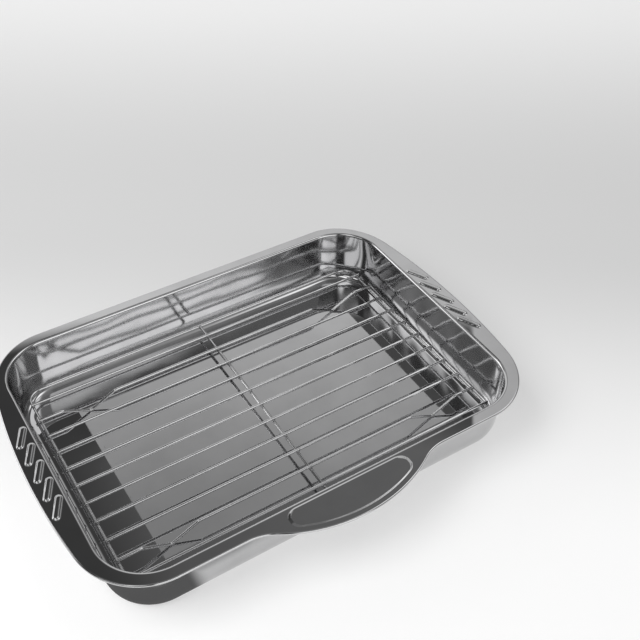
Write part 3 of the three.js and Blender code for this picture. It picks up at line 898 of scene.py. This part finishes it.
class ROASTING_PAN_OT_wires(bpy.types.Operator):
    """Makes the rack's frame, long wires and centre wire"""

    bl_idname = "roasting_pan.wires"
    bl_label = "Rack wires"

    def execute(self, context):
        scene = context.scene
        sizes = scene.rack_sizes
        places = RackPlaces(sizes)
        wire = bright_wire(scene.pan_finish, places)
        put_piece("frame_wire", frame_surface(sizes, places), wire, "rack", "bright_wire", "rack_frame")
        for node in places.long_nodes:
            name = node.replace("rack_wire", "long_wire")
            put_piece(name, long_wire_surface(sizes, places, node), wire, "rack", "bright_wire", node)
        centre = centre_wire_surface(sizes, places)
        put_piece("centre_wire", centre, wire, "rack", "bright_wire", "rack_centre_wire")
        return {"FINISHED"}


class ROASTING_PAN_OT_welds(bpy.types.Operator):
    """Makes the weld spots at the rack's crossings"""

    bl_idname = "roasting_pan.welds"
    bl_label = "Weld spots"

    def execute(self, context):
        scene = context.scene
        sizes = scene.rack_sizes
        welds = weld_surfaces(sizes, RackPlaces(sizes))
        put_piece("weld_spots", welds, weld_steel(scene.pan_finish), "rack", "bright_wire")
        return {"FINISHED"}


def flat_sheet(name, corners, material):
    """A flat object of the stage with these corners."""
    mesh = bpy.data.meshes.new(name)
    mesh.from_pydata(corners, [], [tuple(range(len(corners)))])
    mesh.materials.append(material)
    sheet = bpy.data.objects.new(name, mesh)
    bpy.context.scene.collection.objects.link(sheet)
    return sheet


def floor_material(studio):
    """Matt pale floor that greys in a soft band behind the pan, a painted soft shadow. Part of its plain
    colour shows to the camera and to mirrors, so that it stays pale and keeps the shadow. Mirrors alone see
    a foot shade, a painted contact shadow of a core and a strip round the pan's front left corner, which
    the pan's outside shows."""
    material, net = new_material("studio_floor")
    place = net.add("ShaderNodeTexCoord", {}, {}, out="Object")
    x, y, _ = net.axes(place)
    away = SHADOW_BAND_DIRECTION[0] * x + SHADOW_BAND_DIRECTION[1] * y
    # Painted soft shadow: the floor greys in a band behind the pan.
    band = net.ramp(away, -0.12, 0.22) * (1 - 0.8 * net.ramp(away, 0.3, 0.85))
    tints = net.blend(band, shaded(studio.floor_tint), shaded(studio.floor_shadow_grey))
    # Painted contact shadow round the front left foot, a core and a strip, seen only by mirror rays.
    corner_x, corner_y, corner_radius = FOOT_CORNER
    past_x = net.math("MINIMUM", x - corner_x, 0.0)
    past_y = y - corner_y
    from_foot = (past_x * past_x + past_y * past_y) ** 0.5 - corner_radius
    strip = 0.6 * net.window(from_foot, 0.011, 0.022, 0.003) * net.ramp(x, -0.03, -0.07)
    core = net.ramp(from_foot, 0.026, 0.017) * net.ramp(x, -0.097, -0.112)
    shade = net.math("MAXIMUM", strip, core) * net.ramp(y, -0.05, -0.08)
    shade = shade * net.add("ShaderNodeLightPath", {}, {}, out="Is Glossy Ray")
    plain_share = studio.floor_plain * net.seen() + (1 - studio.floor_plain) * shade
    plain_tints = net.blend(studio.foot_shade * shade, tints, shaded((0, 0, 0)))
    matt = net.add("ShaderNodeBsdfPrincipled", {}, {"Base Color": tints, "Roughness": 0.9})
    plain = net.add("ShaderNodeEmission", {}, {"Color": plain_tints, "Strength": 1.0})
    shader = net.add("ShaderNodeMixShader", {}, {0: plain_share, 1: matt, 2: plain})
    net.add("ShaderNodeOutputMaterial", {}, {"Surface": shader})
    return material


def studio_floor(studio):
    """A wide level floor just under the pan."""
    signs = ((-1, -1), (1, -1), (1, 1), (-1, 1))
    corners = [(FLOOR_REACH * x, FLOOR_REACH * y, -FLOOR_DROP) for x, y in signs]
    return flat_sheet("studio_floor", corners, floor_material(studio))


def studio_world(scene, studio):
    """A studio round the object by direction, white to the camera. Each light is a strength times ramps
    over parts of the unit direction: x to the right, y to the back and z up, and x and y again as
    shares of the level part, rightward and forward."""
    world = bpy.data.worlds.new("studio")
    world.use_nodes = True
    scene.world = world
    net = Net(world.node_tree)
    direction = net.add("ShaderNodeTexCoord", {}, {}, out="Generated")
    x, y, z = net.axes(direction)
    least = 1e-6
    level = (x * x + y * y + least) ** 0.5
    rightward = x / level
    forward = y / level
    # A pale backdrop behind: its upper edge is lower at the left and higher at the right. Its sides fade.
    left_top = math.sin(studio.backdrop_left)
    top = math.sin(studio.backdrop_top)
    right_top = math.sin(studio.backdrop_right)
    edge = left_top + (top - left_top) * net.ramp(rightward, -0.35, 0.0)
    edge = edge + (right_top - top) * net.ramp(rightward, 0.715, 0.745)
    shine = studio.backdrop_shine - 0.15 * net.ramp(rightward, 0.3, 0.6)
    shine = shine - 0.12 * net.ramp(rightward, 0.7, 0.76)
    backdrop = shine * net.ramp(z - edge, 0.008, -0.008) * net.ramp(forward, -0.2, 0.2)
    backdrop = backdrop * net.ramp(rightward, -0.85, -0.5)
    backdrop = backdrop * (1 - 0.75 * net.ramp(rightward, 0.84, 0.94))
    backdrop = backdrop * (1 - 0.8 * net.ramp(rightward, 0.62, 0.7) * net.ramp(z, 0.52, 0.44))
    # A dim sky, a little lighter at the right, at the back left and overhead.
    over_right = 0.08 * net.ramp(x, 0.1, 0.2) * net.ramp(z, 0.74, 0.77)
    over_left = (0.14 + 0.2 * net.ramp(y, 0.48, 0.62)) * net.ramp(rightward, -0.3, -0.5)
    over_left = over_left * net.ramp(forward, 0.3, 0.5) * net.ramp(z, 0.71, 0.66)
    overhead = 0.14 * net.ramp(z, 0.85, 0.93)
    dim = studio.dim_sky + 0.03 * net.ramp(x, 0.2, 0.4) + over_right + over_left + overhead
    # A broad light in front, brightest high at the right, with a narrow band over it and a faint side.
    peak = studio.front_peak * net.ramp(z, 0.38, 0.5) * net.ramp(rightward, -0.1, 0.2)
    front_level = studio.front_light + peak
    bands = front_level * net.ramp(z, 0.06, 0.16) * net.ramp(z, 0.7, 0.67)
    bands = bands + studio.front_high * net.window(z, 0.775, 0.86, 0.02)
    front = bands * net.ramp(rightward, 0.47, 0.42) * net.ramp(rightward, -0.42, -0.27)
    front = (front + 0.12 * net.ramp(rightward, 0.42, 0.47)) * net.ramp(forward, -0.2, -0.45)
    # Smaller lights: four at the left, from low at the back to high, and one at the right.
    left = studio.left_light * net.ramp(x, -0.4, -0.65) * net.ramp(y, 0.36, 0.58)
    left = left * net.window(z, 0.12, 0.52, 0.07)
    left_front = studio.left_front * net.ramp(rightward, -0.68, -0.78) * net.ramp(forward, 0.08, -0.05)
    left_front = left_front * net.window(z, 0.5, 0.7, 0.03)
    left_over = studio.left_over * net.window(x, -0.5, -0.3, 0.04) * net.window(y, -0.55, -0.08, 0.05)
    left_over = left_over * net.ramp(z, 0.7, 0.76)
    left_back = studio.left_back * net.window(x, -0.38, -0.24, 0.03) * net.window(z, 0.66, 0.83, 0.02)
    left_back = left_back * net.ramp(forward, 0.65, 0.8)
    right = studio.right_light * net.ramp(rightward, 0.85, 0.95)
    right = right * net.ramp(z, 0.6, 0.7) * net.ramp(z, 0.97, 0.9)
    radiance = dim + backdrop + front + left + left_front + left_over + left_back + right
    # The horizon is pale all round.
    pale = net.ramp(z, 0.08, 0.0)
    radiance = radiance * (1 - pale) + studio.horizon * pale
    camera = net.add("ShaderNodeLightPath", {}, {}, out="Is Camera Ray")
    light = net.grey(radiance * (1 - camera) + studio.horizon * camera)
    shade = net.add("ShaderNodeBackground", {}, {"Color": light, "Strength": 1.0})
    net.add("ShaderNodeOutputWorld", {}, {"Surface": shade})


def sky_panel(studio):
    """A level light panel over the back right, brighter to the back and to the right, with faint
    clouds. Its square edges mirror in the pan floor."""
    low, high = Vector(studio.panel_low), Vector(studio.panel_high)
    material, net = new_material("sky_panel")
    place = net.add("ShaderNodeTexCoord", {}, {}, out="Object")
    x, y, _ = net.axes(place)
    cloud = net.noise(place, scale=2.5)
    glow = studio.panel_glow + 0.22 * net.ramp(y, low.y, low.y + 0.7)
    glow = glow + 0.15 * net.ramp(x, low.x, high.x) + 0.16 * cloud
    shader = net.add("ShaderNodeEmission", {}, {"Color": net.grey(glow), "Strength": 1.0})
    net.add("ShaderNodeOutputMaterial", {}, {"Surface": shader})
    ends = ((low.x, low.y), (low.x, high.y), (high.x, high.y), (high.x, low.y))
    panel = flat_sheet("sky_panel", [(*end, low.z) for end in ends], material)
    panel.visible_camera = False
    return panel


def side_lamp(studio):
    """A soft square lamp at the left, turned to the pan's middle. It gives the floor its soft shadow
    and isn't mirrored."""
    lamp = bpy.data.lights.new("side_softbox", "AREA")
    lamp.shape = "RECTANGLE"
    lamp.size = studio.lamp_width
    lamp.size_y = studio.lamp_width
    lamp.energy = studio.lamp_power
    holder = bpy.data.objects.new("side_softbox", lamp)
    holder.visible_camera = False
    holder.visible_glossy = False
    bpy.context.scene.collection.objects.link(holder)
    place = Vector(studio.lamp_place)
    facing = (-place).to_track_quat("-Z", "Y").to_matrix().to_4x4()
    holder.matrix_world = Matrix.Translation(place) @ facing


def studio_camera(scene, studio):
    """Camera at the fitted angle: its axes from azimuth, elevation and roll, its place on the line back
    from the target."""
    a, e, roll = studio.azimuth, studio.elevation, studio.roll
    back = Vector((math.sin(a) * math.cos(e), -math.cos(a) * math.cos(e), math.sin(e)))
    right = Vector((math.cos(a), math.sin(a), 0))
    up = back.cross(right)
    rolled_right = math.cos(roll) * right + math.sin(roll) * up
    rolled_up = math.cos(roll) * up - math.sin(roll) * right
    lens = bpy.data.cameras.new("camera")
    lens.sensor_fit = "HORIZONTAL"
    lens.sensor_width = SENSOR_WIDTH
    millimetres = 1000
    lens.lens = studio.focal * millimetres
    lens.clip_start = 0.01
    camera = bpy.data.objects.new("camera", lens)
    scene.collection.objects.link(camera)
    turned = Matrix((rolled_right, rolled_up, back)).transposed().to_4x4()
    camera.matrix_world = Matrix.Translation(Vector(studio.target) + studio.distance * back) @ turned
    scene.camera = camera


class ROASTING_PAN_OT_stage(bpy.types.Operator):
    """Makes the floor, the studio light and the camera"""

    bl_idname = "roasting_pan.stage"
    bl_label = "Stage"

    def execute(self, context):
        scene = context.scene
        studio = scene.pan_studio
        floor = studio_floor(studio)
        sky_panel(studio)
        studio_world(scene, studio)
        side_lamp(studio)
        studio_camera(scene, studio)
        scene.view_settings.view_transform = "Standard"
        return {"FINISHED"}


class VIEW3D_PT_roasting_pan(bpy.types.Panel):
    """Lists the pieces and their sizes"""

    bl_idname = "VIEW3D_PT_roasting_pan"
    bl_label = "Roasting Pan"
    bl_space_type = "VIEW_3D"
    bl_region_type = "UI"
    bl_category = "Roasting Pan"

    def draw(self, context):
        layout = self.layout
        for operator in OPERATORS:
            layout.operator(operator.bl_idname)
        for group in GROUPS:
            settings = getattr(context.scene, group)
            for name in settings.__annotations__:
                layout.prop(settings, name)


GROUPS = {
    "pan_sizes": PanSizes,
    "rack_sizes": RackSizes,
    "pan_finish": FinishLooks,
    "pan_studio": StudioSettings,
}
OPERATORS = (ROASTING_PAN_OT_stage, ROASTING_PAN_OT_sheet, ROASTING_PAN_OT_wires, ROASTING_PAN_OT_welds)
CLASSES = (*GROUPS.values(), *OPERATORS, VIEW3D_PT_roasting_pan)


def register():
    """Registers the classes and gives the scene its settings."""
    for kind in CLASSES:
        bpy.utils.register_class(kind)
    for name, kind in GROUPS.items():
        setattr(bpy.types.Scene, name, PointerProperty(type=kind))


def unregister():
    """Takes the settings and the classes away again."""
    for name in GROUPS:
        delattr(bpy.types.Scene, name)
    for kind in reversed(CLASSES):
        bpy.utils.unregister_class(kind)


def main():
    """Registers the add-on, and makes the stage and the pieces."""
    register()
    bpy.ops.roasting_pan.stage()
    bpy.ops.roasting_pan.sheet()
    bpy.ops.roasting_pan.wires()
    bpy.ops.roasting_pan.welds()


if __name__ == "__main__":
    main()
